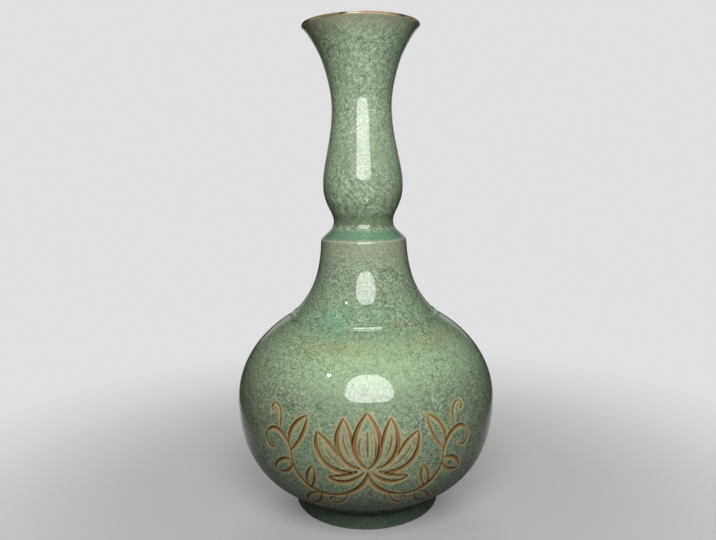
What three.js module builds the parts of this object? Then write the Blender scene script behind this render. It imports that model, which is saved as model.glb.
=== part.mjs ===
// A celadon bottle vase with a pear-shaped upper neck and a trumpet mouth.
// It is thrown in six sections, which are trimmed, luted one on another with slip, glazed and fired.
// Millimetres, +Z up. The origin is the centre of the foot ring's resting face.
import * as THREE from "three";

// Driving dimensions, from the foot upwards.
const footRadius = 46.3;
const footHeight = 12.2;
const footWidth = 6.2; // across the unglazed resting face and its two bevels
const footBevel = 0.9;
const footBatter = 0.9; // how much wider the ring is at its top than at its resting face
const coveDepth = 4.8; // the body's rim overhangs the ring by this much
const coveHeight = 0.6;
const rimHeight = 2; // a narrow upright rim, turned round the foot of the bowl
const rimBatter = 0.5;

const bellyRadius = 81.6;
const bellyHeight = 71; // of the widest place
const crownRise = 63.7; // the upper half is part of an ellipse, which the shoulder cuts off
const bellySeamRise = 9; // the joint lies a little above the widest place
const baseThickness = 6;

const shoulderRadius = 45.8;
const collarHeight = 47.9;
const collarTopRadius = 26.9;

const waistRadius = 18.75;
const ledgeHeight = 10.9;
const bulbRadius = 25;
const bulbRise = 23.4;
const throatRadius = 18.55;
const throatRise = 46.1;

const flareRadius = 24.2; // where the trumpet mouth starts to turn outwards
const flareRise = 28;
const flareLean = 20; // degrees outwards from upright
const mouthRadius = 35.7;
const mouthRise = 20;
const lipTilt = 38; // degrees upwards from level, of the wall at the lip

const bodyWall = 4.6;
const neckWall = 3.8;
const lipThickness = 1.7;
const shoulderSeatWidth = 8.4; // the wall is cut at a slant there, so its joint is wide
const ledgeSeatWidth = 6.2;

const slipThickness = 0.8;
const slipBead = 1.1; // how far the squeezed-out slip stands into the vase

// How finely the round shapes are drawn.
const turnSegments = 48;
const lipSteps = 4;

// Heights of the joints and of the narrow and wide places, each standing on the one before.
const shoulderZ = bellyHeight + crownRise * Math.sqrt(1 - (shoulderRadius / bellyRadius) ** 2);
const ledgeZ = shoulderZ + collarHeight;
const waistZ = ledgeZ + ledgeHeight;
const bulbZ = waistZ + bulbRise;
const throatZ = bulbZ + throatRise;
const flareZ = throatZ + flareRise;
const lipZ = flareZ + mouthRise;
const bellySeamZ = bellyHeight + bellySeamRise;
const halfSlip = slipThickness / 2;

const crownRadiusAt = (z) => bellyRadius * Math.sqrt(1 - ((z - bellyHeight) / crownRise) ** 2);

// Each joint is a flat ring. The section below it, the slip in it and the section above it all read it.
const seams = {
  foot: { z: footHeight, outer: footRadius + footBatter, inner: footRadius - footWidth },
  belly: ringSeam(bellySeamZ, crownRadiusAt(bellySeamZ), bodyWall),
  shoulder: ringSeam(shoulderZ, shoulderRadius, shoulderSeatWidth),
  ledge: ringSeam(ledgeZ, collarTopRadius, ledgeSeatWidth),
  throat: ringSeam(throatZ, throatRadius, neckWall),
};

function ringSeam(z, outer, width) {
  return { z, outer, inner: outer - width };
}

const point = (radius, height) => new THREE.Vector2(radius, height);

// Points on a cubic curve, from its first end to its last.
function bezier(start, startHandle, endHandle, end, steps) {
  return new THREE.CubicBezierCurve(start, startHandle, endHandle, end).getPoints(steps);
}

// Points on the ellipse of the globe's upper half, between two heights.
function crownArc(fromZ, toZ, steps) {
  const from = Math.asin((fromZ - bellyHeight) / crownRise);
  const to = Math.asin((toZ - bellyHeight) / crownRise);
  return Array.from({ length: steps + 1 }, (_, i) => {
    const angle = from + ((to - from) * i) / steps;
    return point(bellyRadius * Math.cos(angle), bellyHeight + crownRise * Math.sin(angle));
  });
}

// Joins stretches of an outline, and leaves out the point that two of them share.
function outline(...stretches) {
  const points = stretches.flat();
  return points.filter((p, i) => i === 0 || p.distanceTo(points[i - 1]) > 1e-3);
}

// The inner face of a wall: the outline moved inwards, square to itself, between two heights.
function innerFace(outer, wallAt, lowest, highest) {
  const face = [];
  for (let i = 1; i < outer.length - 1; i++) {
    const along = outer[i + 1].clone().sub(outer[i - 1]).normalize();
    const outward = point(along.y, -along.x);
    const p = outer[i].clone().addScaledVector(outward, -wallAt(outer[i].y));
    if (p.y > lowest + slipThickness && p.y < highest - slipThickness) face.push(p);
  }
  return face;
}

// A solid turned from a profile that closes on itself or on the axis.
function turned(profile, closed = true) {
  const points = closed ? [...profile, profile[0].clone()] : profile;
  return new THREE.LatheGeometry(points, turnSegments).rotateX(Math.PI / 2);
}

// A thrown section between two joints: its outline up, and its inner face down.
function thrownSection(outer, below, above, wall) {
  const lowest = below.z + halfSlip;
  const highest = above.z - halfSlip;
  return turned([
    point(below.outer, lowest),
    ...outer.filter((p) => p.y > lowest + 0.2 && p.y < highest - 0.2),
    point(above.outer, highest),
    point(above.inner, highest),
    ...innerFace(outer, () => wall, lowest, highest).reverse(),
    point(below.inner, lowest),
  ]);
}

function footRing() {
  const { outer, inner, z } = seams.foot;
  const top = z - halfSlip;
  return turned([
    point(footRadius - footBevel, 0),
    point(footRadius, footBevel),
    point(outer, top),
    point(inner, top),
    point(inner, footBevel),
    point(inner + footBevel, 0),
  ]);
}

// The lower bowl of the globe with its floor. Its rim overhangs the foot ring in a small cove.
function lowerBody() {
  const underside = seams.foot.z + halfSlip;
  const rimFoot = point(seams.foot.outer + coveDepth, underside + coveHeight);
  const rimTop = point(rimFoot.x + rimBatter, rimFoot.y + rimHeight);
  const spread = bellyRadius - rimTop.x;
  const rise = bellyHeight - rimTop.y;
  const bowl = outline(
    [rimFoot],
    bezier(
      rimTop,
      point(rimTop.x + 0.085 * spread, rimTop.y + 0.035 * rise),
      point(bellyRadius, bellyHeight - 0.809 * rise),
      point(bellyRadius, bellyHeight),
      10,
    ),
    crownArc(bellyHeight, bellySeamZ, 1),
  );
  const floorZ = underside + baseThickness;
  const inside = innerFace(bowl, () => bodyWall, floorZ + 1, bellySeamZ);
  const floorRadius = inside[0].x - baseThickness;
  const rim = bellySeamZ - halfSlip;
  return turned(
    [
      point(0, underside),
      point(seams.foot.outer, underside),
      ...bowl.slice(0, -1),
      point(seams.belly.outer, rim),
      point(seams.belly.inner, rim),
      ...inside.reverse(),
      point(floorRadius, floorZ),
      point(0, floorZ),
    ],
    false,
  );
}

function upperBody() {
  return thrownSection(crownArc(bellySeamZ, shoulderZ, 8), seams.belly, seams.shoulder, bodyWall);
}

// The flared lower neck. It leaves the shoulder at half a right angle and is upright at its top.
function collar() {
  const drop = seams.shoulder.outer - collarTopRadius;
  const outer = bezier(
    point(seams.shoulder.outer, shoulderZ),
    point(seams.shoulder.outer - 0.58 * drop, shoulderZ + 0.24 * collarHeight),
    point(collarTopRadius + 0.075 * drop, shoulderZ + 0.44 * collarHeight),
    point(collarTopRadius, ledgeZ),
    8,
  );
  return thrownSection(outer, seams.shoulder, seams.ledge, neckWall);
}

// The upper neck: a sloping ledge, a waist, a pear-shaped bulb and a slender throat.
function bulbNeck() {
  const step = collarTopRadius - waistRadius;
  const outer = outline(
    bezier(
      point(collarTopRadius, ledgeZ),
      point(collarTopRadius - 0.6 * step, ledgeZ + 0.4 * ledgeHeight),
      point(waistRadius, ledgeZ + 0.55 * ledgeHeight),
      point(waistRadius, waistZ),
      5,
    ),
    bezier(
      point(waistRadius, waistZ),
      point(waistRadius, waistZ + 0.26 * bulbRise),
      point(bulbRadius, waistZ + 0.4 * bulbRise),
      point(bulbRadius, bulbZ),
      5,
    ),
    bezier(
      point(bulbRadius, bulbZ),
      point(bulbRadius, bulbZ + 0.24 * throatRise),
      point(throatRadius, bulbZ + 0.6 * throatRise),
      point(throatRadius, throatZ),
      5,
    ),
  );
  return thrownSection(outer, seams.ledge, seams.throat, neckWall);
}

// The trumpet mouth. Its wall turns outwards all the way up and thins towards a rounded lip.
function trumpetMouth() {
  const lean = THREE.MathUtils.degToRad(flareLean);
  const towardsLip = point(Math.sin(lean), Math.cos(lean));
  const flare = point(flareRadius, flareZ);
  // The lip is half a round on the end of the wall, which it meets square.
  const lipRadius = lipThickness / 2;
  const tilt = THREE.MathUtils.degToRad(lipTilt);
  const lipCentre = point(mouthRadius - lipRadius, lipZ - lipRadius);
  const lip = Array.from({ length: lipSteps + 1 }, (_, i) => {
    const angle = tilt - Math.PI / 2 + (Math.PI * i) / lipSteps;
    return point(lipCentre.x + lipRadius * Math.cos(angle), lipCentre.y + lipRadius * Math.sin(angle));
  });
  const edge = lip[0];
  const outOfWall = point(Math.cos(tilt), Math.sin(tilt));
  const outer = outline(
    bezier(
      point(throatRadius, throatZ),
      point(throatRadius, throatZ + 0.33 * flareRise),
      flare.clone().addScaledVector(towardsLip, -0.29 * flareRise),
      flare,
      4,
    ),
    bezier(
      flare,
      flare.clone().addScaledVector(towardsLip, 0.275 * mouthRise),
      edge.clone().addScaledVector(outOfWall, -0.21 * mouthRise),
      edge,
      7,
    ),
  );
  const wallAt = (z) => neckWall + ((lipThickness - neckWall) * (z - throatZ)) / (edge.y - throatZ);
  const lowest = throatZ + halfSlip;
  return turned([
    point(seams.throat.outer, lowest),
    ...outer.slice(1, -1),
    ...lip,
    ...innerFace(outer, wallAt, lowest, lipZ).reverse(),
    point(seams.throat.inner, lowest),
  ]);
}

// The slip in a joint: a thin flat ring whose inner edge was squeezed out into a bead.
function slipRing({ z, outer, inner }) {
  return turned([
    point(outer, z - halfSlip),
    point(outer, z + halfSlip),
    point(inner, z + halfSlip),
    point(inner - slipBead, z + halfSlip / 2),
    point(inner - slipBead, z - halfSlip / 2),
    point(inner, z - halfSlip),
  ]);
}

const glaze = new THREE.MeshStandardMaterial({ color: 0x8fa98f, roughness: 0.15, metalness: 0 });
const bareClay = new THREE.MeshStandardMaterial({ color: 0x6f5a48, roughness: 0.9, metalness: 0 });
const firedSlip = new THREE.MeshStandardMaterial({ color: 0xa8a392, roughness: 0.7, metalness: 0 });

function piece(name, geometry, material) {
  const mesh = new THREE.Mesh(geometry, material);
  mesh.name = name;
  return mesh;
}

const vase = new THREE.Group();
vase.add(
  piece("foot_ring", footRing(), bareClay),
  piece("lower_body", lowerBody(), glaze),
  piece("upper_body", upperBody(), glaze),
  piece("collar", collar(), glaze),
  piece("bulb_neck", bulbNeck(), glaze),
  piece("trumpet_mouth", trumpetMouth(), glaze),
);
for (const [name, seam] of Object.entries(seams)) {
  vase.add(piece(`${name}_seam_slip`, slipRing(seam), firedSlip));
}

export default vase;
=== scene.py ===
import math

import bmesh
import bpy
import numpy as np
from mathutils import Matrix, Vector
from mathutils.geometry import interpolate_bezier


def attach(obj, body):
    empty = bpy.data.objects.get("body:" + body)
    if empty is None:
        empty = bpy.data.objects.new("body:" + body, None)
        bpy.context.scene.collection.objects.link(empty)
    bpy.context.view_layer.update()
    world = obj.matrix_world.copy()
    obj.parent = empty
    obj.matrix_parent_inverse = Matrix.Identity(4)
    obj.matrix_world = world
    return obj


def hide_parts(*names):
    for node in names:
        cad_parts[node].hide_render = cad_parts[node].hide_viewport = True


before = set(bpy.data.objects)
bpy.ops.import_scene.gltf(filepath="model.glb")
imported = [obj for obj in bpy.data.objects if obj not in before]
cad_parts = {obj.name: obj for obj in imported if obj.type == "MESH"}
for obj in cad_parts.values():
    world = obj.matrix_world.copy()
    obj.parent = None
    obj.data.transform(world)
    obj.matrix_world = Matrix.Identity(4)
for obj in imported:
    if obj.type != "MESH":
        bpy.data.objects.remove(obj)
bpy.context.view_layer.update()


# The foot ring. It is turned from the leather-hard clay under the body and glazed down its outer side.
# Where it stands, the glaze is wiped off so that it doesn't stick to the kiln shelf, and the bare clay
# fires iron brown.
MM = 0.001
FOOT_RADIUS = 46.3
FOOT_TOP_RADIUS = 47.2
FOOT_INNER = 40.1
FOOT_TOP = 12.2
FOOT_EDGE = (FOOT_RADIUS + 0.05, 1.1)  # radius and height, above the rounding it stands on
WIPED_HEIGHT = 0.7
HALF_SLIP = 0.4
GLAZE_SKIRT = 0.5  # the glaze bridges each joint, and the slip ends this far inside it
OVAL = 0.11  # how far a thrown wall is out of round
THREE_SIDED = 0.06
THROWING_RINGS = 0.003
ALL_ROUND = ((0, 2 * math.pi, 256),)  # each sector's first angle, its spread and its columns


def curve(start, out_of_start, into_end, end, steps):
    """Points (radius, height) in mm on a cubic curve with two handles."""
    corners = [Vector((r, 0, z)) for r, z in (start, out_of_start, into_end, end)]
    return [(p.x, p.z) for p in interpolate_bezier(*corners, steps + 1)]


def without_repeats(points):
    kept = [points[0]]
    for p in points[1:]:
        if math.dist(p, kept[-1]) > 0.01:
            kept.append(p)
    return kept


def read_points(mesh):
    """A mesh's vertices in mm."""
    co = np.empty(len(mesh.vertices) * 3)
    mesh.vertices.foreach_get("co", co)
    return co.reshape(-1, 3) / MM


def write_points(mesh, co):
    mesh.vertices.foreach_set("co", (co * MM).ravel())
    mesh.update()


def off_true(mesh):
    """Moves a turned piece off true as a thrower's hands do: a little out of round, with faint rings."""
    co = read_points(mesh)
    radius = np.maximum(np.hypot(co[:, 0], co[:, 1]), 1e-6)
    turn = np.arctan2(co[:, 1], co[:, 0])
    z = co[:, 2]
    off = OVAL * np.sin(2 * turn + 0.021 * z) + THREE_SIDED * np.sin(3 * turn + 1.3 - 0.034 * z)
    off += THROWING_RINGS * np.sin(1.72 * z + 0.8 * np.sin(turn)) * np.sin(0.09 * z + 2 * turn)
    off *= np.minimum(1, radius / 15)
    co[:, :2] *= (1 + off / radius)[:, None]
    write_points(mesh, co)


def add_sector(bm, profile, closed, first_angle, spread, columns):
    """Turns a sector from a profile: its first sixteenth is spun, and then doubled four times."""
    part = bmesh.new()
    start = Matrix.Rotation(first_angle, 3, "Z")
    verts = [part.verts.new(start @ Vector((r * MM, 0, z * MM))) for r, z in profile]
    pairs = zip(verts, verts[1:] + verts[:1]) if closed else zip(verts, verts[1:])
    edges = [part.edges.new(pair) for pair in pairs]
    sixteenth = spread / 16
    around = {"axis": (0, 0, 1), "cent": (0, 0, 0)}
    bmesh.ops.spin(part, geom=verts + edges, angle=sixteenth, steps=columns // 16, **around)
    for turn in (sixteenth, 2 * sixteenth, 4 * sixteenth, 8 * sixteenth):
        copied = bmesh.ops.duplicate(part, geom=part.verts[:] + part.edges[:] + part.faces[:])["geom"]
        moved = [piece for piece in copied if isinstance(piece, bmesh.types.BMVert)]
        bmesh.ops.rotate(part, verts=moved, cent=(0, 0, 0), matrix=Matrix.Rotation(turn, 3, "Z"))
    mesh = bpy.data.meshes.new("sector")
    part.to_mesh(mesh)
    part.free()
    bm.from_mesh(mesh)
    bpy.data.meshes.remove(mesh)


def turned(name, profile, closed=True, sectors=ALL_ROUND):
    """A solid turned on the vase's axis from a profile in mm, which closes on itself or on the axis."""
    bm = bmesh.new()
    for sector in sectors:
        add_sector(bm, without_repeats(profile), closed, *sector)
    bmesh.ops.remove_doubles(bm, verts=bm.verts, dist=2e-6)
    bmesh.ops.recalc_face_normals(bm, faces=bm.faces)
    mesh = bpy.data.meshes.new(name)
    bm.to_mesh(mesh)
    bm.free()
    off_true(mesh)
    mesh.shade_smooth()
    mesh.set_sharp_from_angle(angle=math.radians(40))
    made = bpy.data.objects.new(name, mesh)
    bpy.context.scene.collection.objects.link(made)
    return made


def put(made, node, material):
    made.data.materials.append(material)
    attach(made, "root")
    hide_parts(node)


class Value:
    """What comes out of a node's socket, so that Python's operators add Math nodes."""

    def __init__(self, shader, socket):
        self.shader = shader
        self.socket = socket

    def __add__(self, other):
        return self.shader.calculate("ADD", self, other)

    def __radd__(self, other):
        return self.shader.calculate("ADD", other, self)

    def __sub__(self, other):
        return self.shader.calculate("SUBTRACT", self, other)

    def __rsub__(self, other):
        return self.shader.calculate("SUBTRACT", other, self)

    def __mul__(self, other):
        return self.shader.calculate("MULTIPLY", self, other)

    def __rmul__(self, other):
        return self.shader.calculate("MULTIPLY", other, self)


class Nodes:
    """A node tree that nodes are added to."""

    def __init__(self, tree):
        self.tree = tree

    def node(self, kind, settings=None, values=None, output=0):
        """Adds a node: its type, then its settings, then the values or links of its sockets."""
        made = self.tree.nodes.new("ShaderNode" + kind)
        for key, value in (settings or {}).items():
            setattr(made, key, value)
        for key, value in (values or {}).items():
            self.feed(made.inputs[key], value)
        return Value(self, made.outputs[output])

    def feed(self, socket, value):
        if isinstance(value, Value):
            self.tree.links.new(value.socket, socket)
        elif socket.type == "RGBA":
            socket.default_value = (*value, 1)
        else:
            socket.default_value = value

    def calculate(self, operation, first, second=0.0):
        return self.node("Math", {"operation": operation}, {0: first, 1: second})

    def vector(self, operation, first, second, output="Vector"):
        return self.node("VectorMath", {"operation": operation}, {0: first, 1: second}, output)

    def along(self, vector, axis):
        return self.node("SeparateXYZ", values={0: vector}, output=axis)

    def mix(self, share, first, second):
        """Colours mixed by a share."""
        return self.node("Mix", {"data_type": "RGBA"}, {0: share, 6: first, 7: second}, 2)

    def step(self, value, low, high, at_low=0.0, at_high=1.0):
        """A value that goes softly from at_low to at_high as another goes from low to high."""
        return self.node(
            "MapRange",
            {"interpolation_type": "SMOOTHSTEP"},
            {"Value": value, "From Min": low, "From Max": high, "To Min": at_low, "To Max": at_high},
        )

    def band(self, value, low, high, soft):
        """1 between two values, and 0 outside them."""
        rise = self.step(value, low - soft, low + soft)
        return rise * self.step(value, high - soft, high + soft, 1.0, 0.0)


class Shader(Nodes):
    """A material and its nodes."""

    def __init__(self, name):
        self.material = bpy.data.materials.new(name)
        self.material.use_nodes = True
        super().__init__(self.material.node_tree)
        self.principled = self.tree.nodes["Principled BSDF"]
        self.place = self.node("TexCoord", output="Object")
        self.height = self.along(self.place, "Z")

    def noise(self, scale, detail, roughness=0.5, output=0):
        return self.node(
            "TexNoise",
            values={"Vector": self.place, "Scale": scale, "Detail": detail, "Roughness": roughness},
            output=output,
        )

    def kept(self, name):
        """A number that the mesh keeps for each vertex."""
        return self.node("Attribute", {"attribute_name": name}, output="Fac")

    def patch(self, centre, radius, soft):
        """1 within a radius in mm of a point in mm, and 0 beyond a soft edge."""
        away = self.vector("DISTANCE", self.place, tuple(c * MM for c in centre), "Value")
        return self.step(away, (radius - soft) * MM, (radius + soft) * MM, 1.0, 0.0)

    def finish(self, **sockets):
        for key, value in sockets.items():
            self.feed(self.principled.inputs[key.replace("_", " ")], value)
        return self.material


def srgb(red, green, blue):
    """A colour read from 0 to 255, as the linear values that a shader takes."""
    shares = [c / 255 for c in (red, green, blue)]
    return tuple(c / 12.92 if c <= 0.04045 else ((c + 0.055) / 1.055) ** 2.4 for c in shares)


def crazing(s, where, cell):
    """Flakes of a size in mm, each tilted its own way. Returns the tilt, the rims that catch the light,
    and the rims that lie in shade."""
    scale = 1 / (cell * MM)
    values = {"Vector": where, "Scale": scale, "Randomness": 1.0}
    lean = s.vector("SUBTRACT", s.node("TexVoronoi", values=values, output="Color"), (0.5, 0.5, 0.5))
    from_middle = s.vector("SUBTRACT", where, s.node("TexVoronoi", values=values, output="Position"))
    tilt = s.vector("DOT_PRODUCT", from_middle, lean, "Value") * scale
    gap = s.node("TexVoronoi", {"feature": "DISTANCE_TO_EDGE"}, values, "Distance")
    rim = s.step(gap, 0.17, 0.015)
    return tilt, rim * s.step(tilt, 0.0, 0.08), rim * s.step(tilt, 0.0, -0.08)


def body_colours(s, where, clouds, up, thick):
    """The glaze's greens: deep where it lies thick on the shoulder and pale above the globe's widest
    place, which is made paler still as painted light where the top faces up to the softbox, with an olive
    and a rusty streak between them, flakes of blue-green, and on the mouth's left a beige tint darkened
    as painted shade."""
    glaze = s.mix(s.step(clouds, 0.3, 0.7), srgb(144, 163, 134), srgb(159, 178, 148))
    glaze = s.mix(thick * 0.5, glaze, srgb(126, 164, 120))
    # pale glaze above the globe's widest place, made paler still as painted light where the top faces up
    # to the softbox
    pale_and_lit_crown = s.band(up, 0.096, 0.117, 0.007)
    glaze = s.mix(pale_and_lit_crown * 0.7, glaze, srgb(182, 213, 168))
    olive = s.band(up, 0.112, 0.120, 0.004) * s.step(clouds, 0.45, 0.6)
    glaze = s.mix(olive * 0.45, glaze, srgb(164, 168, 114))
    chip = s.node("TexVoronoi", values={"Vector": where, "Scale": 270}, output="Color")
    chosen = s.along(chip, "X")
    blue_green = s.patch((-20, -39, 124), 11, 5) * s.step(chosen, 0.45, 0.5)
    glaze = s.mix(blue_green * 0.6, glaze, srgb(130, 188, 158))
    streak = s.patch((24, -38, 124), 9, 3) * s.band(up, 0.1234, 0.1256, 0.001)
    rust = streak * s.step(chosen, 0.3, 0.4, 0.4, 1.0)
    glaze = s.mix(rust * 0.8, glaze, srgb(158, 124, 90))
    beige_side = s.patch((-66, -46, 84), 34, 26)
    glaze = s.mix(beige_side * 0.35, glaze, srgb(146, 152, 118))
    # a beige tint on the mouth's left, darkened as painted shade on that side
    beige_and_shaded_mouth = s.patch((-25, -20, 288), 15, 12)
    glaze = s.mix(beige_and_shaded_mouth * 0.6, glaze, srgb(102, 108, 82))
    grey_mouth = s.patch((26, -20, 282), 16, 12)
    return s.mix(grey_mouth * 0.4, glaze, srgb(106, 130, 118))


def crackled(s, glaze, where, thick):
    """A colour with the crazing over it: two layers of flakes, lines drawn out by the throwing, and wide
    cracks. Returns it, and how high the flakes stand."""
    flake, rims, shades = crazing(s, where, 2.4)
    small_flake, small_rims, small_shades = crazing(s, where, 1.5)
    catch = rims * 0.6 + small_rims * 0.55 - shades * 0.55 - small_shades * 0.45
    drawn = s.step(s.height, 0.11, 0.26, 0.45, 0.95)  # the mouth was pulled out most
    way = s.noise(32, 1.0)
    for turn, mask in ((1.1, s.step(way, 0.52, 0.44)), (-0.75, s.step(way, 0.48, 0.56))):
        drawn_out = {"Rotation": (0.1, turn, 0.0), "Scale": (1.0, 1.0, 7.0)}
        slant = s.node("Mapping", {"vector_type": "TEXTURE"}, {"Vector": s.place, **drawn_out})
        _, bright_lines, dark_lines = crazing(s, slant, 1.4)
        catch = catch + (bright_lines - dark_lines * 0.55) * drawn * mask
    calm = s.patch((0, -72, 106), 26, 22) + s.patch((2, -22, 222), 20, 14)  # smoother spots in front
    strong = s.step(s.noise(33, 2.0), 0.3, 0.7, 0.8, 1.15) * (1 - calm * 0.45)
    glaze = s.mix(catch * strong, glaze, srgb(202, 219, 189))
    glaze = s.mix(catch * strong * -1, glaze, srgb(82, 100, 78))
    _, wide_rims, wide_shades = crazing(s, where, 5.0)
    glaze = s.mix(wide_rims * thick * 0.4, glaze, srgb(172, 206, 178))
    glaze = s.mix(wide_shades * 0.25, glaze, srgb(84, 102, 80))
    return glaze, flake + small_flake * 0.6


def around_the_ledge(s, glaze, clouds, wander, up):
    """Dark in the waist, a blue-green pool on the ledge, a pale line on its edge and sandy below it."""
    waist = s.band(up, 0.1795, 0.1875, 0.002)
    glaze = s.mix(waist * 0.65, glaze, srgb(92, 110, 80))
    pool = s.band(s.height + wander * 0.0025, 0.1722, 0.1775, 0.0012)
    glaze = s.mix(pool * 0.8, glaze, srgb(104, 144, 118))
    sandy = s.step(up, 0.150, 0.1705) * s.step(s.height, 0.1715, 0.1722, 1.0, 0.0)
    glaze = s.mix(sandy * 0.6, glaze, srgb(167, 173, 147))
    ledge_line = s.band(s.height + wander * 0.0006, 0.1711, 0.1719, 0.0002)
    return s.mix(ledge_line * s.step(clouds, 0.35, 0.6) * 0.6, glaze, srgb(200, 198, 174))


def on_the_mouth(s, glaze, clouds, wander, up):
    """A darker throat, sandy under the lip, and cream on the lip, where iron shows through in spots."""
    high = s.step(s.height, 0.236, 0.262)
    glaze = s.mix(high * 0.18, glaze, srgb(96, 116, 88))
    flare = s.step(up, 0.289, 0.298)
    glaze = s.mix(flare * 0.6, glaze, srgb(158, 154, 134))
    lip = s.step(s.height + wander * 0.0012, 0.2976, 0.2984)
    glaze = s.mix(lip * 0.8, glaze, srgb(190, 182, 150))
    bare = s.step(s.height + wander * 0.003, 0.2984, 0.2992)
    glaze = s.mix(bare * s.step(clouds, 0.52, 0.6) * 0.8, glaze, srgb(104, 72, 44))
    for centre, radius, soft, colour in (
        ((-32, -13, 299), 7, 3, srgb(64, 46, 28)),
        ((-10, -34, 299), 2.2, 1.4, srgb(58, 42, 28)),
        ((10, -34, 300), 11, 3, srgb(152, 106, 62)),
        ((23, -27, 299), 2.5, 1.2, srgb(58, 40, 24)),
    ):
        glaze = s.mix(bare * s.patch(centre, radius, soft) * 0.85, glaze, colour)
    return glaze


def on_the_foot(s, glaze, wander):
    """Deeper green on the ring, with a pale line at its lower edge, painted shade nearly black in the
    cove, and a line of painted shade in the crease where the bowl turns down into its rim.
    """
    foot = s.step(s.height, 0.0136, 0.0122)
    glaze = s.mix(foot * 0.7, glaze, srgb(92, 124, 98))
    foot_edge = s.band(s.height + wander * 0.0004, 0.0007, 0.0015, 0.0002)
    glaze = s.mix(foot_edge * 0.6, glaze, srgb(150, 158, 144))
    # painted shade: nearly black in the cove under the body's overhang
    cove_shade = s.band(s.height, 0.0108, 0.0138, 0.0006)
    glaze = s.mix(cove_shade * 0.95, glaze, srgb(16, 28, 19))
    # painted shade in the crease where the bowl turns down into its rim
    rim_crease_shade = s.band(s.height, 0.0150, 0.0158, 0.0003)
    return s.mix(rim_crease_shade * 0.7, glaze, srgb(60, 76, 56))


def in_the_cuts(s, glaze, wander, cut):
    """Iron stain in the carving: tan, with a golden edge round it, and painted shade, dark brown, on the
    upper left wall of each cut.
    """
    uneven = wander * 2 + 1
    glow = s.step(s.kept("halo") * uneven, 0.05, 0.9)
    glaze = s.mix(glow * 0.72, glaze, srgb(210, 198, 150))
    glaze = s.mix(s.step(cut * uneven, 0.02, 0.35) * 0.92, glaze, srgb(160, 122, 74))
    # painted shade on the upper left wall of each cut
    return s.mix(s.step(s.kept("shaded_wall") * uneven, 0.1, 0.6) * 0.88, glaze, srgb(62, 42, 22))


def celadon_glaze():
    """Grey-green glaze over pale clay. It is crazed in layers of tilted flakes, as cracked ice is, runs
    thin and sandy off edges, and pools blue-green where it can lie."""
    s = Shader("celadon_glaze")
    shake = s.vector("SUBTRACT", s.noise(90, 1.0, output="Color"), (0.5, 0.5, 0.5))
    where = s.node("VectorMath", {"operation": "MULTIPLY_ADD"}, {0: shake, 1: (0.0014,) * 3, 2: s.place})
    clouds = s.noise(19, 4.0, 0.55)
    wander = s.noise(70, 3.0, 0.6) - 0.5
    up = s.height + wander * 0.006
    thick = s.band(up, 0.119, 0.136, 0.006)

    glaze = body_colours(s, where, clouds, up, thick)
    glaze, facets = crackled(s, glaze, where, thick)
    glaze = around_the_ledge(s, glaze, clouds, wander, up)
    glaze = on_the_mouth(s, glaze, clouds, wander, up)
    glaze = on_the_foot(s, glaze, wander)
    cut = s.kept("cut")
    glaze = in_the_cuts(s, glaze, wander, cut)
    under = s.node("Bump", values={"Strength": 0.4, "Distance": 0.0003, "Height": facets})
    return s.finish(
        Base_Color=glaze,
        Roughness=s.step(cut, 0.0, 0.6, 0.42, 0.8),
        Specular_IOR_Level=0.1,
        Normal=under,
        Coat_Weight=s.step(cut, 0.1, 0.8, 1.0, 0.25),
        Coat_Roughness=0.045,
        Coat_IOR=1.52,
    )


def bare_clay():
    """Iron-brown fired clay, open and a little sandy."""
    s = Shader("bare_clay")
    grain = s.noise(900, 4.0, 0.6)
    clay = s.mix(s.step(grain, 0.35, 0.7), srgb(84, 60, 44), srgb(140, 106, 80))
    bump = s.node("Bump", values={"Strength": 0.6, "Distance": 0.0002, "Height": grain})
    return s.finish(Base_Color=clay, Roughness=0.85, Normal=bump)


GLAZE = celadon_glaze()

foot = turned(
    "foot_ring_turned",
    [
        *curve((FOOT_RADIUS - 1, 0), (FOOT_RADIUS - 0.4, 0), (FOOT_RADIUS, 0.4), FOOT_EDGE, 8),
        *curve(FOOT_EDGE, (FOOT_RADIUS + 0.3, 4), (47.1, 8.5), (FOOT_TOP_RADIUS, FOOT_TOP), 14),
        (FOOT_TOP_RADIUS - GLAZE_SKIRT, FOOT_TOP),
        (FOOT_TOP_RADIUS - GLAZE_SKIRT, FOOT_TOP - HALF_SLIP),
        (FOOT_INNER, FOOT_TOP - HALF_SLIP),
        *curve((FOOT_INNER, 1.2), (FOOT_INNER, 0.4), (FOOT_INNER + 0.4, 0), (FOOT_INNER + 1.1, 0), 6),
    ],
)
put(foot, "foot_ring", GLAZE)
foot.data.materials.append(bare_clay())
for face in foot.data.polygons:
    if face.center.z < WIPED_HEIGHT * MM:
        face.material_index = 1


# The lower bowl of the globe with its floor. It is thrown as a deep bowl, turned underneath with a
# narrow upright rim, and joined to the ring with slip. It overhangs the ring in a cove, whose shade is
# painted nearly black into the glaze.
FRONT = math.radians(104)  # the sector that carries the carving, which needs narrow columns
FINE_IN_FRONT = (
    (-(math.pi + FRONT) / 2, FRONT, 400),
    (-(math.pi - FRONT) / 2, 2 * math.pi - FRONT, 80),
)
UNDERSIDE = FOOT_TOP + HALF_SLIP
BODY_WALL = 4.6
FLOOR = 6.0
RIM_FOOT = (52.0, UNDERSIDE + 0.6)
RIM_TOP = (52.5, RIM_FOOT[1] + 2)
BELLY = (81.6, 71.0)
CROWN_RISE = 63.7
BELLY_SEAM_Z = 80.0
SHOULDER_RADIUS = 45.8
SHOULDER_Z = BELLY[1] + CROWN_RISE * math.sqrt(1 - (SHOULDER_RADIUS / BELLY[0]) ** 2)


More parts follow.
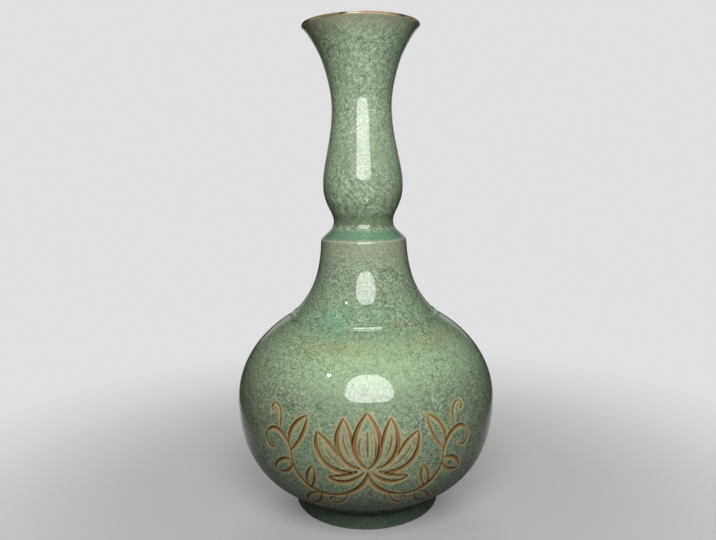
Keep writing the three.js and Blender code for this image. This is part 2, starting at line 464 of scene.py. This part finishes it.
def crown(from_z, to_z, steps):
    """Points on the ellipse of the globe's upper half, between two heights."""
    start = math.asin((from_z - BELLY[1]) / CROWN_RISE)
    end = math.asin((to_z - BELLY[1]) / CROWN_RISE)
    angles = [start + (end - start) * i / steps for i in range(steps + 1)]
    return [(BELLY[0] * math.cos(a), BELLY[1] + CROWN_RISE * math.sin(a)) for a in angles]


def inner_wall(outer, wall_at, lowest, highest, every=3):
    """The inner face of a wall: an outline moved in square to itself, between two heights."""
    face = []
    for before, here, after in list(zip(outer, outer[1:], outer[2:]))[::every]:
        along = Vector((after[0] - before[0], after[1] - before[1])).normalized()
        wall = wall_at(here[1])
        r, z = here[0] - along.y * wall, here[1] + along.x * wall
        if lowest < z < highest:
            face.append((r, z))
    return face


def body_wall(_):
    return BODY_WALL


def joint(outer, inner, z, side):
    """A section's end at a joint, from its outer edge in: the glaze's skirt, then the slip's seat."""
    skirt = outer - GLAZE_SKIRT
    return [(outer, z), (skirt, z), (skirt, z + side * HALF_SLIP), (inner, z + side * HALF_SLIP)]


bowl = without_repeats(
    [*curve(RIM_TOP, (54.97, 17.15), (BELLY[0], 25.87), BELLY, 120), *crown(BELLY[1], BELLY_SEAM_Z, 15)]
)
BELLY_SEAM_RADIUS = bowl[-1][0]
inside = inner_wall(bowl, body_wall, UNDERSIDE + FLOOR + 1, BELLY_SEAM_Z - 1)
lower_body = turned(
    "lower_body_thrown",
    [
        (0, UNDERSIDE),
        (FOOT_TOP_RADIUS - GLAZE_SKIRT, UNDERSIDE),
        (FOOT_TOP_RADIUS - GLAZE_SKIRT, FOOT_TOP),
        (FOOT_TOP_RADIUS, FOOT_TOP),
        *curve((48, UNDERSIDE), (49.4, UNDERSIDE), (50.6, UNDERSIDE), (51.3, UNDERSIDE + 0.1), 3),
        *curve((51.3, UNDERSIDE + 0.1), (51.7, UNDERSIDE + 0.15), (52, UNDERSIDE + 0.3), RIM_FOOT, 4),
        *curve(RIM_FOOT, (52.1, 13.9), (52.45, 14.4), (52.25, RIM_TOP[1] - 0.35), 6),
        *bowl[:-1],
        *joint(BELLY_SEAM_RADIUS, BELLY_SEAM_RADIUS - BODY_WALL, BELLY_SEAM_Z, -1),
        *reversed(inside),
        (inside[0][0] - FLOOR, UNDERSIDE + FLOOR),
        (0, UNDERSIDE + FLOOR),
    ],
    closed=False,
    sectors=FINE_IN_FRONT,
)
put(lower_body, "lower_body", GLAZE)


# The upper part of the globe, closed in on the wheel up to the break at the shoulder. There the sloping
# wall is cut level, which leaves a wide seat for the collar, and the joint stands up in a slight ridge
# under the glaze.
SHOULDER_SEAT = 8.4
RIDGE_HEIGHT = 1.05
RIDGE_REACH = 2.4
RIDGE_OUT = 0.75  # the ridge's share of its height that goes outwards
RIDGE_UP = 0.65


def with_ridge(outline):
    """An outline pushed out and up near the shoulder's joint, but not up on the joint itself."""
    ridged = []
    for r, z in outline:
        away = math.dist((r, z), (SHOULDER_RADIUS, SHOULDER_Z)) / RIDGE_REACH
        push = RIDGE_HEIGHT * (0.5 + 0.5 * math.cos(math.pi * min(away, 1)))
        ridged.append((r + RIDGE_OUT * push, z + RIDGE_UP * push if away > 0 else z))
    return ridged


dome = crown(BELLY_SEAM_Z, SHOULDER_Z, 110)
ridge = with_ridge(dome)
JOINT_RADIUS = ridge[-1][0]
upper_body = turned(
    "upper_body_thrown",
    [
        *[p for p in ridge[1:-1] if p[1] < SHOULDER_Z - 0.05],
        *joint(JOINT_RADIUS, SHOULDER_RADIUS - SHOULDER_SEAT, SHOULDER_Z, -1),
        *reversed(inner_wall(dome, body_wall, BELLY_SEAM_Z + 1, SHOULDER_Z - 1.5)),
        *reversed(joint(BELLY_SEAM_RADIUS, BELLY_SEAM_RADIUS - BODY_WALL, BELLY_SEAM_Z, 1)),
    ],
    sectors=FINE_IN_FRONT,
)
put(upper_body, "upper_body", GLAZE)


# The collar, which is the flared lower neck. It is thrown by itself in the same porcelain and luted on
# the shoulder with slip, and its top edge is rounded a little by the sponge.
NECK_WALL = 3.8
COLLAR_HEIGHT = 47.9
LEDGE = (26.9, SHOULDER_Z + COLLAR_HEIGHT)
LEDGE_JOINT = LEDGE[0] - 0.5  # on the rounded edge
LEDGE_SEAT = 6.2
drop = SHOULDER_RADIUS - LEDGE[0]


def neck_wall(_):
    return NECK_WALL


flank = curve(
    (SHOULDER_RADIUS, SHOULDER_Z),
    (SHOULDER_RADIUS - 0.58 * drop, SHOULDER_Z + 0.24 * COLLAR_HEIGHT),
    (LEDGE[0] + 0.075 * drop, SHOULDER_Z + 0.44 * COLLAR_HEIGHT),
    (LEDGE[0], LEDGE[1] - 2),
    90,
)
rounding = curve(
    flank[-1],
    (LEDGE[0], LEDGE[1] - 1.2),
    (26.75, LEDGE[1] - 0.5),
    (LEDGE_JOINT, LEDGE[1]),
    8,
)
collar = turned(
    "collar_thrown",
    [
        *[p for p in with_ridge(flank)[1:] if p[1] > SHOULDER_Z + 0.05],
        *rounding[1:-1],
        *joint(LEDGE_JOINT, LEDGE[0] - LEDGE_SEAT, LEDGE[1], -1),
        *reversed(inner_wall(flank, neck_wall, SHOULDER_Z + 1, LEDGE[1] - 1)),
        *reversed(joint(JOINT_RADIUS, SHOULDER_RADIUS - SHOULDER_SEAT, SHOULDER_Z, 1)),
    ],
)
put(collar, "collar", GLAZE)


# The upper neck: the sloping ledge, a waist, the pear-shaped bulb and the slender throat. It is thrown
# in one, its lower edge is sponged round, and it is luted on the collar's top.
WAIST = (18.75, LEDGE[1] + 10.9)
BULB = (25.0, WAIST[1] + 23.4)
THROAT = (18.55, BULB[1] + 46.1)
ROUNDED = (LEDGE[0] - 1.4, LEDGE[1] + 0.95)
pear = without_repeats(
    [
        *curve((LEDGE_JOINT, LEDGE[1]), (26.2, LEDGE[1] + 0.3), (25.85, LEDGE[1] + 0.6), ROUNDED, 4),
        *curve(ROUNDED, (22.0, LEDGE[1] + 4.36), (WAIST[0], LEDGE[1] + 6.0), WAIST, 30),
        *curve(WAIST, (WAIST[0], WAIST[1] + 6.1), (BULB[0], WAIST[1] + 9.4), BULB, 36),
        *curve(BULB, (BULB[0], BULB[1] + 11.1), (THROAT[0], BULB[1] + 27.7), THROAT, 50),
    ]
)
bulb_neck = turned(
    "bulb_neck_thrown",
    [
        *pear[1:-1],
        *joint(THROAT[0], THROAT[0] - NECK_WALL, THROAT[1], -1),
        *reversed(inner_wall(pear, neck_wall, LEDGE[1] + 1, THROAT[1] - 1)),
        *reversed(joint(LEDGE_JOINT, LEDGE[0] - LEDGE_SEAT, LEDGE[1], 1)),
    ],
)
put(bulb_neck, "bulb_neck", GLAZE)


# The trumpet mouth, luted on the throat. It is thrown so that it turns outwards all the way up, and its
# wall is pulled thin towards a rounded lip.
FLARE = (24.2, THROAT[1] + 28)
MOUTH_RADIUS = 35.7
LIP_ROUND = 0.85
LIP_TOP = FLARE[1] + 20
LIP_TILT = 38  # degrees upwards from level, of the wall at the lip
LIP_CENTRE = (MOUTH_RADIUS - LIP_ROUND, LIP_TOP - LIP_ROUND)
lip = [
    (LIP_CENTRE[0] + LIP_ROUND * math.cos(a), LIP_CENTRE[1] + LIP_ROUND * math.sin(a))
    for a in [math.radians(LIP_TILT + d) for d in range(-90, 91, 15)]
]
horn = without_repeats(
    [
        *curve(THROAT, (THROAT[0], THROAT[1] + 9.24), (21.42, FLARE[1] - 7.63), FLARE, 36),
        *curve(FLARE, (26.08, FLARE[1] + 5.17), (32.06, FLARE[1] + 15.89), lip[0], 36),
    ]
)


def mouth_wall(z):
    """The wall thins evenly from the throat to the lip."""
    return NECK_WALL + (2 * LIP_ROUND - NECK_WALL) * (z - THROAT[1]) / (lip[0][1] - THROAT[1])


mouth = turned(
    "trumpet_mouth_thrown",
    [
        *horn[1:-1],
        *lip,
        *reversed(inner_wall(horn, mouth_wall, THROAT[1] + 1, LIP_TOP - 0.02, every=2)),
        *reversed(joint(THROAT[0], THROAT[0] - NECK_WALL, THROAT[1], 1)),
    ],
)
put(mouth, "trumpet_mouth", GLAZE)


# The carving on the front: a lotus between two scrolling stems. It is cut into the leather-hard clay with
# a bent knife, stained with iron, and shows brown with a golden edge through the glaze, with painted
# shade on each cut's upper left wall.
CUT_DEPTH = 0.5
HALO = 2.0
MARGIN = 2  # beyond the halo, in the box round a cut that is searched for vertices
SHADED_SIDE = (-0.5, 0.87)  # the side of each cut whose wall gets painted shade: its upper left
POINTS_ON_A_CUT = 20
SPREAD = 1.25  # each cut comes out this much wider than the width it is given
NARROW_END = 0.3  # a cut's width at its ends, as a share of its middle's
BOWL_DROP = BELLY[1] + 5  # half the height of an ellipse that is near the bowl's outline


def cut(*corners, width, mirrored=True):
    """A cut along a cubic curve. Corners are mm right of the front's middle and mm up from the table."""
    line = interpolate_bezier(*[Vector((x, y, 0)) for x, y in corners], POINTS_ON_A_CUT)
    line = np.array(line)[:, :2]
    swell = np.sin(np.linspace(0, math.pi, POINTS_ON_A_CUT)) ** 0.7
    halves = SPREAD * width / 2 * (NARROW_END + (1 - NARROW_END) * swell)
    return [(line * (side, 1), halves) for side in ((1, -1) if mirrored else (1,))]


LOTUS_SCROLL = [
    # the middle petal and its veins
    *cut((0, 55), (10, 61), (9, 76), (0, 86), width=2.2),
    *cut((0, 61), (0, 66), (0, 71), (0, 77), width=1.0, mirrored=False),
    *cut((3, 60), (5.5, 65), (5, 70), (3, 74), width=0.9),
    # the pair beside it
    *cut((4, 55), (17, 57), (20, 72), (13, 83), width=2.1),
    *cut((13, 83), (9.5, 78), (8.6, 72), (7.6, 67), width=1.5),
    *cut((9, 61), (12, 65), (13.5, 70), (13, 76), width=0.9),
    # the outer pair
    *cut((6, 53.5), (20, 50), (31, 60), (28, 75), width=2.1),
    *cut((28, 75), (22, 72), (18, 66), (16.4, 62), width=1.5),
    *cut((12, 56), (18, 58), (22, 63), (24, 68), width=0.9),
    # the small petals beneath
    *cut((2, 53), (8, 46), (16, 44), (23, 49), width=1.8),
    *cut((23, 49), (16, 50), (10, 51), (6, 53), width=1.4),
    # the stem and its scroll
    *cut((0, 53), (1, 45), (8, 38), (20, 36.5), width=2.0),
    *cut((20, 36.5), (34, 35), (45, 44), (44.5, 57), width=2.1),
    *cut((44.5, 57), (44, 69), (55, 77), (62, 69), width=1.8),
    *cut((62, 69), (66, 63), (60, 57), (56, 62), width=1.4),
    # the leaves on the scroll
    *cut((29, 36), (30, 29), (36, 25), (44, 26), width=1.6),
    *cut((44, 26), (41, 31), (37, 36), (30.5, 36.3), width=1.5),
    *cut((37, 40), (36.5, 47), (35, 51), (31.5, 55), width=1.5),
    *cut((31.5, 55), (30, 49), (31, 43), (35.6, 39.2), width=1.4),
    *cut((45, 56), (50, 56), (57, 53), (60, 46), width=1.6),
    *cut((60, 46), (53, 44), (47, 48), (44.6, 53), width=1.5),
    *cut((45.6, 65), (46, 73), (41, 80), (34, 83), width=1.6),
    *cut((34, 83), (34, 76), (38, 68), (44.4, 62), width=1.5),
    # the tendrils
    *cut((12, 38.5), (14, 31), (21, 27), (24, 31), width=1.2),
    *cut((24, 31), (25, 34), (21, 35.5), (19.6, 32.6), width=1.0),
    *cut((52, 72.5), (50, 80), (52, 86), (57, 86), width=1.2),
    *cut((57, 86), (60, 85), (59.5, 81), (56.6, 81.6), width=1.0),
]


def carve(made, cuts):
    """Presses cuts into a piece's outer side, and keeps how deep and how near they are for the stain, and
    where each cut's upper left wall gets painted shade.
    """
    mesh = made.data
    co = read_points(mesh)
    radius = np.hypot(co[:, 0], co[:, 1])
    across = np.arctan2(co[:, 0], -co[:, 1]) * BELLY[0]
    height = co[:, 2]
    outline = np.array(bowl + dome[1:])
    on_outside = radius > np.interp(height, outline[:, 1], outline[:, 0]) - GLAZE_SKIRT / 2
    deep = np.zeros(len(co))
    near = np.zeros(len(co))
    shaded_wall = np.zeros(len(co))
    for line, halves in cuts:
        low = line.min(axis=0) - HALO - MARGIN
        high = line.max(axis=0) + HALO + MARGIN
        beside = (across > low[0]) & (across < high[0]) & (height > low[1]) & (height < high[1])
        at = np.flatnonzero(on_outside & beside)
        here = np.stack([across[at], height[at]], 1)
        away = np.full(len(at), np.inf)
        lean = np.zeros(len(at))
        half = np.ones(len(at))
        for a, b, half_a, half_b in zip(line, line[1:], halves, halves[1:]):
            t = np.clip((here - a) @ (b - a) / ((b - a) @ (b - a)), 0, 1)
            off = here - a - t[:, None] * (b - a)
            length = np.linalg.norm(off, axis=1)
            nearer = length < away
            away[nearer] = length[nearer]
            lean[nearer] = (off @ SHADED_SIDE)[nearer]
            half[nearer] = (half_a + (half_b - half_a) * t)[nearer]
        hollow = np.clip(1 - away / half, 0, 1) ** 0.8 * np.minimum(half / 0.8, 1)
        deep[at] = np.maximum(deep[at], hollow)
        near[at] = np.maximum(near[at], np.clip(1 - (away - half) / HALO, 0, 1))
        # painted shade on the cut's upper left wall, strongest near its edge
        wall = np.clip(lean / half * 1.3, 0, 1) * np.clip((1.5 - away / half) * 2, 0, 1)
        shaded_wall[at] = np.maximum(shaded_wall[at], wall)
    rise = np.where(height > BELLY[1], CROWN_RISE, BOWL_DROP) ** 2
    out = np.stack([co[:, 0], co[:, 1], (height - BELLY[1]) * BELLY[0] ** 2 / rise], 1)
    out /= np.linalg.norm(out, axis=1)[:, None]
    write_points(mesh, co - out * (deep * CUT_DEPTH)[:, None])
    for kept, values in (("cut", deep), ("halo", near), ("shaded_wall", shaded_wall)):
        mesh.attributes.new(kept, "FLOAT", "POINT").data.foreach_set("value", values)


carve(lower_body, LOTUS_SCROLL)
carve(upper_body, LOTUS_SCROLL)


# The slip in each joint: liquid clay, brushed on both faces while they are leather-hard. It is squeezed
# out into a bead inside the vase, and fires pale and matt.
SLIP_BEAD = 1.1


def fired_slip():
    """Pale grey slip, matt and a little lumpy."""
    s = Shader("fired_slip")
    lumps = s.noise(500, 3.0)
    clay = s.mix(s.step(lumps, 0.3, 0.7), srgb(150, 146, 128), srgb(176, 172, 152))
    bump = s.node("Bump", values={"Strength": 0.5, "Distance": 0.0002, "Height": lumps})
    return s.finish(Base_Color=clay, Roughness=0.7, Normal=bump)


SLIP = fired_slip()
for name, outer_edge, inner_edge, z in (
    ("foot", FOOT_TOP_RADIUS, FOOT_INNER, FOOT_TOP),
    ("belly", BELLY_SEAM_RADIUS, BELLY_SEAM_RADIUS - BODY_WALL, BELLY_SEAM_Z),
    ("shoulder", JOINT_RADIUS, SHOULDER_RADIUS - SHOULDER_SEAT, SHOULDER_Z),
    ("ledge", LEDGE_JOINT, LEDGE[0] - LEDGE_SEAT, LEDGE[1]),
    ("throat", THROAT[0], THROAT[0] - NECK_WALL, THROAT[1]),
):
    top, bottom = z + HALF_SLIP, z - HALF_SLIP
    bead = inner_edge - 1.3 * SLIP_BEAD
    ring = turned(
        f"{name}_slip_ring",
        [
            (outer_edge - GLAZE_SKIRT, bottom),
            (outer_edge - GLAZE_SKIRT, top),
            *curve((inner_edge, top), (bead, top), (bead, bottom), (inner_edge, bottom), 8),
        ],
    )
    put(ring, f"{name}_seam_slip", SLIP)


# The studio: a pale floor that fades to white, a softbox just over the camera, a small lamp to its left,
# and a softbox behind the vase that the glaze doesn't mirror. Of the floor and the room, the glaze
# mirrors little but a strip behind the vase.
FLOOR_RADIUS = 6
PALE = 0.75  # how light the floor and the backdrop show
FILL = 0.035  # how much light the room itself gives


def seen_by(s):
    """Two shares: 1 where the camera looks straight at a thing, and 1 where it sees it in the glaze."""
    kinds = ("Camera", "Glossy", "Transmission")
    rays = {kind: s.node("LightPath", output=f"Is {kind} Ray") for kind in kinds}
    return rays["Camera"], s.calculate("MAXIMUM", rays["Glossy"], rays["Transmission"])


def pale_floor():
    s = Shader("pale_floor")
    away = s.node("VectorMath", {"operation": "LENGTH"}, {0: s.place}, "Value")
    sideways = s.calculate("ABSOLUTE", s.along(s.place, "X"))
    behind = s.step(s.along(s.place, "Y"), -0.02, 0.12, 0.15, 1.0)
    straight, mirrored = seen_by(s)
    seen = straight + mirrored * behind * s.step(sideways, 0.22, 0.12)
    s.finish(Base_Color=s.mix(seen, (0.05, 0.05, 0.05), (0.6, 0.6, 0.59)), Roughness=0.9)
    white = s.node("Emission", values={"Strength": PALE})
    mixed = s.tree.nodes.new("ShaderNodeMixShader")
    s.feed(mixed.inputs[0], seen * s.step(away, 0.07, 0.4, 0.22, 1.0))
    s.tree.links.new(s.principled.outputs[0], mixed.inputs[1])
    s.tree.links.new(white.socket, mixed.inputs[2])
    s.tree.links.new(mixed.outputs[0], s.tree.nodes["Material Output"].inputs["Surface"])
    return s.material


bm = bmesh.new()
bmesh.ops.create_circle(bm, cap_ends=True, segments=64, radius=FLOOR_RADIUS)
floor_mesh = bpy.data.meshes.new("floor")
bm.to_mesh(floor_mesh)
bm.free()
floor_mesh.materials.append(pale_floor())
floor = bpy.data.objects.new("floor", floor_mesh)
bpy.context.scene.collection.objects.link(floor)

world = bpy.data.worlds.new("studio")
world.use_nodes = True
bpy.context.scene.world = world
air = Nodes(world.node_tree)
backdrop = air.tree.nodes["Background"]
air.feed(backdrop.inputs["Color"], (1, 1, 1))
straight, mirrored = seen_by(air)
way_out = air.node("TexCoord", output="Generated")
behind = air.step(air.along(way_out, "Y"), 0.85, 0.93)
low_down = air.step(air.along(way_out, "Z"), 0.36, 0.26)
shown = straight + mirrored * behind * low_down * 0.6
air.feed(backdrop.inputs["Strength"], FILL + (PALE - FILL) * shown)


def lamp(name, shape, place_at, aim_at, size, watts):
    light = bpy.data.lights.new(name, "AREA")
    light.shape = shape
    light.size, light.size_y = size
    light.energy = watts
    made = bpy.data.objects.new(name, light)
    made.location = place_at
    made.rotation_euler = (Vector(aim_at) - Vector(place_at)).to_track_quat("-Z", "Y").to_euler()
    made.visible_camera = False
    bpy.context.scene.collection.objects.link(made)
    return made


def round_corners(light):
    """Masks a softbox to a dome over a straight lower edge with rounded corners."""
    light.use_nodes = True
    widest = 0.35  # where the dome meets the base, as a share of the softbox's height
    s = Nodes(light.node_tree)
    on_the_box = s.node("NewGeometry", output="Parametric")
    across = s.along(on_the_box, "X")
    up = s.along(on_the_box, "Y")
    from_side = s.calculate("POWER", s.calculate("ABSOLUTE", across * 2 - 1), 2.6)
    over = s.calculate("MAXIMUM", (up - widest) * (1 / (1 - widest)))
    under = s.calculate("MAXIMUM", (widest - up) * (1 / widest))
    outside = from_side + s.calculate("POWER", over, 2.2) + s.calculate("POWER", under, 3.2)
    s.feed(s.tree.nodes["Emission"].inputs["Strength"], s.step(outside, 1.04, 0.98))


softbox = lamp("softbox", "RECTANGLE", (0.018, -0.355, 0.384), (0.018, 0, 0.319), (0.29, 0.285), 2.15)
round_corners(softbox.data)
lamp("small_lamp", "DISK", (-0.28, -0.30, 0.54), (0, 0, 0.12), (0.024, 0.024), 0.1)
rear_softbox = lamp("rear_softbox", "RECTANGLE", (0, 0.7, 0.25), (0, 0, 0.15), (0.26, 0.4), 3.0)
rear_softbox.visible_glossy = False

PICTURE_WIDTH = 716  # pixels
FOCAL_LENGTH = 650  # pixels
SENSOR_WIDTH = 36
CAMERA_PLACE = (-0.0038, -0.40864, 0.2132)
LOOKS_DOWN = 0.151  # radians
ROLL = -0.015

camera_data = bpy.data.cameras.new("camera")
camera_data.sensor_width = SENSOR_WIDTH
camera_data.lens = FOCAL_LENGTH / PICTURE_WIDTH * SENSOR_WIDTH
camera = bpy.data.objects.new("camera", camera_data)
camera.matrix_world = (
    Matrix.Translation(CAMERA_PLACE)
    @ Matrix.Rotation(math.pi / 2 - LOOKS_DOWN, 4, "X")
    @ Matrix.Rotation(ROLL, 4, "Z")
)
bpy.context.scene.collection.objects.link(camera)
bpy.context.scene.camera = camera
bpy.context.scene.view_settings.view_transform = "Standard"
